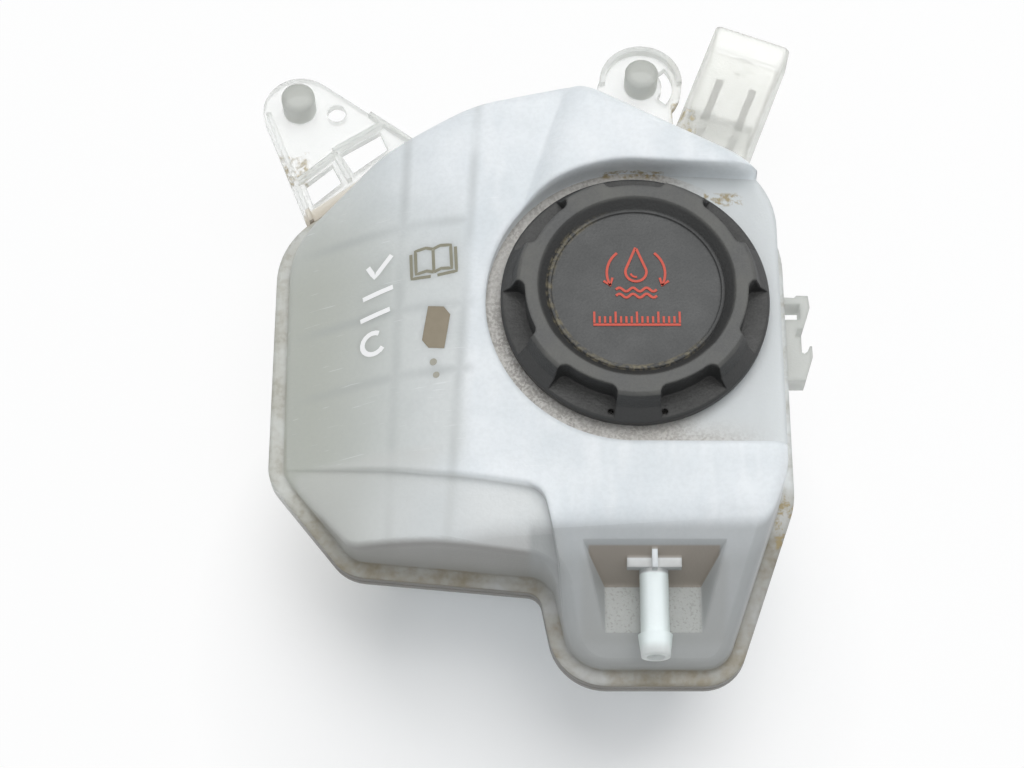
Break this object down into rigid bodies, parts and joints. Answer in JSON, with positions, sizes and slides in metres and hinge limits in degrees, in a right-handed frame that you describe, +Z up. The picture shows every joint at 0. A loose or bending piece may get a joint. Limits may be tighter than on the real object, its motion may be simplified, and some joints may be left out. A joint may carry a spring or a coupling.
{
  "type": "coolant expansion tank",
  "caption": "Translucent welded plastic coolant expansion tank with a lobed black screw cap, pressure valves, hose nipples, mounting ears and a level sensor socket.",
  "frame": {"origin": "on the tank's flat underside, on the axis of the filler neck", "axes": "+Z up along the filler neck, +Y towards the back with the sensor socket and the hose outlet, +X towards the cable clip"},
  "size_m": [0.1754, 0.2304, 0.0927],
  "materials": {
    "tank_plastic": "frosted translucent polypropylene",
    "cap_plastic": "fine-grained black plastic",
    "insert_plastic": "smooth black plastic",
    "seal_rubber": "smooth",
    "spring_steel": "drawn wire",
    "pin_metal": "tinned",
    "valve_brass": "turned"
  },
  "bodies": {
    "tank": {"upper_shell": "tank_plastic", "lower_shell": "tank_plastic", "sensor_pin_left": "pin_metal", "sensor_pin_right": "pin_metal"},
    "insert": {"valve_cup": "insert_plastic", "valve_lid": "insert_plastic", "lower_sealing_ring": "seal_rubber", "upper_sealing_ring": "seal_rubber", "relief_spring": "spring_steel"},
    "cap": {"cap_shell": "cap_plastic"},
    "relief": {"relief_plate": "insert_plastic", "relief_seal": "seal_rubber", "vacuum_spring": "spring_steel"},
    "vacuum": {"vacuum_valve": "valve_brass", "vacuum_clip": "spring_steel"}
  },
  "joints": [
    {"name": "cap_lift", "type": "slide", "parent": "tank", "child": "insert", "axis": [0, 0, 1], "range_m": [0, 0.006]},
    {"name": "cap_turn", "type": "hinge", "parent": "insert", "child": "cap", "pos_m": [0, 0, 0.085], "axis": [0, 0, 1], "range_deg": [0, 540]},
    {"name": "relief_lift", "type": "slide", "parent": "insert", "child": "relief", "axis": [0, 0, 1], "range_m": [0, 0.0025], "stiffness_N_per_m": 3000, "springref_m": -0.008, "deforming": ["relief_spring"]},
    {"name": "vacuum_drop", "type": "slide", "parent": "relief", "child": "vacuum", "axis": [0, 0, -1], "range_m": [0, 0.0015], "stiffness_N_per_m": 150, "springref_m": -0.003, "deforming": ["vacuum_spring"]}
  ],
  "couplings": [
    {"joint": "cap_turn", "follows": "cap_lift", "rad_per_m": 1570.8}
  ]
}
